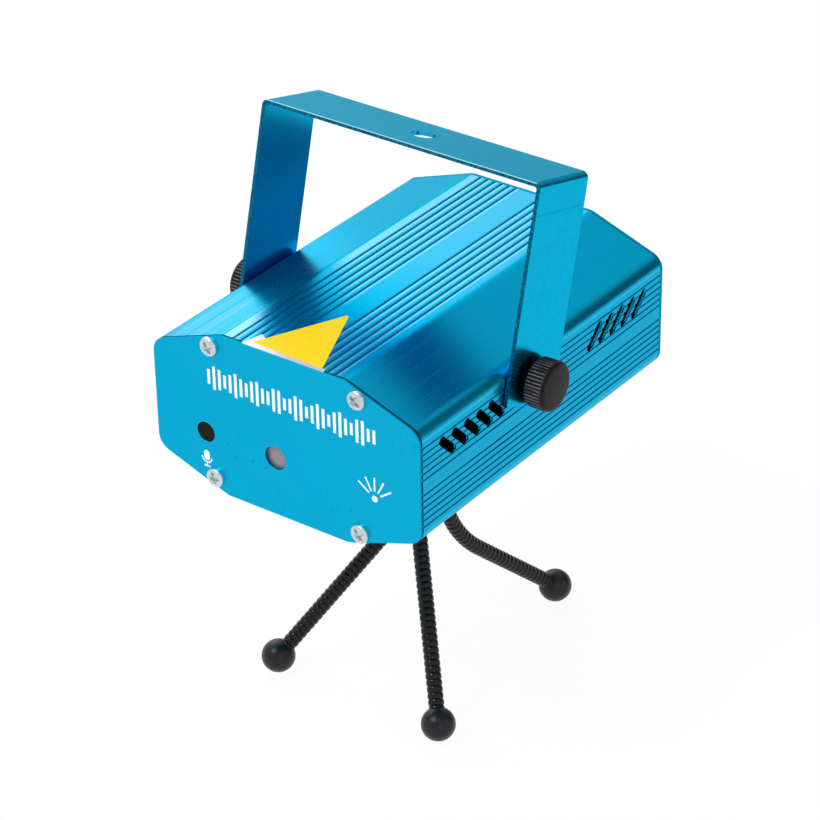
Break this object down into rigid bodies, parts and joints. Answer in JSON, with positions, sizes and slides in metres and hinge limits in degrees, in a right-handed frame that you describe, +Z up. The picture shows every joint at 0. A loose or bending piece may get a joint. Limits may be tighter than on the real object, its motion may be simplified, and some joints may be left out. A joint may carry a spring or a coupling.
{
  "type": "laser show projector",
  "caption": "Small stage laser projector: ribbed blue octagonal case with vents, hanging yoke clamped by side knobs, and a gooseneck tripod on ball feet.",
  "frame": {"origin": "on the floor, under the middle of the whole outline", "axes": "+Z up, +X to the right of the case seen from its front, -Y out of the laser aperture"},
  "size_m": [0.1106, 0.1316, 0.1762],
  "materials": {
    "blue_shell": "satin",
    "blue_plate": "matte",
    "blue_yoke": "satin",
    "screw_steel": "satin",
    "motor_steel": "satin",
    "knob_black": "matte",
    "leg_black": "gloss",
    "foot_black": "satin",
    "mic_black": "matte",
    "switch_black": "satin",
    "rocker_black": "gloss",
    "fan_black": "matte",
    "window_glass": "gloss",
    "grating_film": "gloss",
    "combiner_glass": "polished",
    "bare_aluminium": "satin",
    "laser_brass": "satin",
    "standoff_brass": "satin",
    "board_green": "satin",
    "chip_black": "matte",
    "capacitor_can": "satin",
    "connector_white": "satin"
  },
  "bodies": {
    "housing": {"upper_shell": "blue_shell", "lower_shell": "blue_shell", "front_plate": "blue_plate", "rear_plate": "blue_plate", "front_screws": "screw_steel", "rear_screws": "screw_steel", "fan_screws": "screw_steel", "fan_nuts": "screw_steel", "board_screws": "screw_steel", "clamp_washers": "screw_steel", "clamp_nuts": "screw_steel", "tripod_nut": "screw_steel", "pot_nut": "screw_steel", "jack_nut": "screw_steel", "jack_pin": "screw_steel", "wheel_motor": "motor_steel", "motor_bracket": "motor_steel", "mic_capsule": "mic_black", "mic_sleeve": "mic_black", "power_switch": "switch_black", "mode_switch": "switch_black", "jack_body": "switch_black", "speed_pot": "switch_black", "fan_frame": "fan_black", "aperture_window": "window_glass", "combiner_mirror": "combiner_glass", "green_block": "bare_aluminium", "red_block": "bare_aluminium", "mirror_post": "bare_aluminium", "window_holder": "bare_aluminium", "green_laser": "laser_brass", "red_laser": "laser_brass", "board_standoffs": "standoff_brass", "main_board": "board_green", "driver_chip": "chip_black", "board_capacitors": "capacitor_can", "board_connectors": "connector_white"},
    "yoke_arm": {"yoke": "blue_yoke"},
    "left_clamp": {"left_knob": "knob_black", "left_stud": "screw_steel"},
    "right_clamp": {"right_knob": "knob_black", "right_stud": "screw_steel"},
    "tripod_head": {"tripod_hub": "knob_black", "tripod_stud": "screw_steel"},
    "lock_ring": {"lock_wheel": "knob_black"},
    "left_prop": {"left_leg": "leg_black", "left_foot": "foot_black"},
    "right_prop": {"right_leg": "leg_black", "right_foot": "foot_black"},
    "rear_prop": {"rear_leg": "leg_black", "rear_foot": "foot_black"},
    "pattern_rotor": {"grating_wheel": "grating_film", "wheel_shaft": "screw_steel"},
    "fan_blades": {"fan_rotor": "fan_black"},
    "speed_control": {"speed_knob": "knob_black", "pot_shaft": "screw_steel"},
    "power_lever": {"power_rocker": "rocker_black"},
    "mode_lever": {"mode_slider": "rocker_black"}
  },
  "joints": [
    {"name": "yoke_tilt", "type": "hinge", "parent": "housing", "child": "yoke_arm", "pos_m": [0, -0.01305, 0.117], "axis": [1, 0, 0], "range_deg": [-45, 114]},
    {"name": "left_knob_turn", "type": "hinge", "parent": "housing", "child": "left_clamp", "pos_m": [-0.05, -0.01305, 0.117], "axis": [-1, 0, 0], "range_deg": [0, 360]},
    {"name": "right_knob_turn", "type": "hinge", "parent": "housing", "child": "right_clamp", "pos_m": [0.05, -0.01305, 0.117], "axis": [1, 0, 0], "range_deg": [0, 360]},
    {"name": "tripod_pan", "type": "hinge", "parent": "housing", "child": "tripod_head", "pos_m": [0, 0.00045, 0.076], "axis": [0, 0, 1], "range_deg": [-90, 90]},
    {"name": "lock_wheel_turn", "type": "hinge", "parent": "tripod_head", "child": "lock_ring", "pos_m": [0, 0.00045, 0.0786], "axis": [0, 0, 1], "range_deg": [0, 360]},
    {"name": "rear_leg_bend", "type": "hinge", "parent": "tripod_head", "child": "rear_prop", "pos_m": [0.00416, 0.00285, 0.0609], "axis": [0.9553, -0.2957, 0], "range_deg": [-25, 35], "deforming": ["rear_leg"]},
    {"name": "left_leg_bend", "type": "hinge", "parent": "tripod_head", "child": "left_prop", "pos_m": [-0.00416, 0.00285, 0.0614], "axis": [-0.8211, 0.5707, 0], "range_deg": [-25, 35], "deforming": ["left_leg"]},
    {"name": "right_leg_bend", "type": "hinge", "parent": "tripod_head", "child": "right_prop", "pos_m": [0, -0.00435, 0.0606], "axis": [-0.723, -0.6909, 0], "range_deg": [-25, 35], "deforming": ["right_leg"]},
    {"name": "pattern_spin", "type": "hinge", "parent": "housing", "child": "pattern_rotor", "pos_m": [0.0074, -0.05455, 0.0997], "axis": [0, 1, 0], "continuous": true},
    {"name": "fan_spin", "type": "hinge", "parent": "housing", "child": "fan_blades", "pos_m": [0, 0.04945, 0.107], "axis": [0, 1, 0], "continuous": true},
    {"name": "speed_turn", "type": "hinge", "parent": "housing", "child": "speed_control", "pos_m": [-0.033, 0.06145, 0.114], "axis": [0, 1, 0], "range_deg": [-150, 150]},
    {"name": "power_rock", "type": "hinge", "parent": "housing", "child": "power_lever", "pos_m": [0.033, 0.05535, 0.114], "axis": [1, 0, 0], "range_deg": [0, 16]},
    {"name": "mode_slide", "type": "slide", "parent": "housing", "child": "mode_lever", "axis": [1, 0, 0], "range_m": [0, 0.004]}
  ]
}
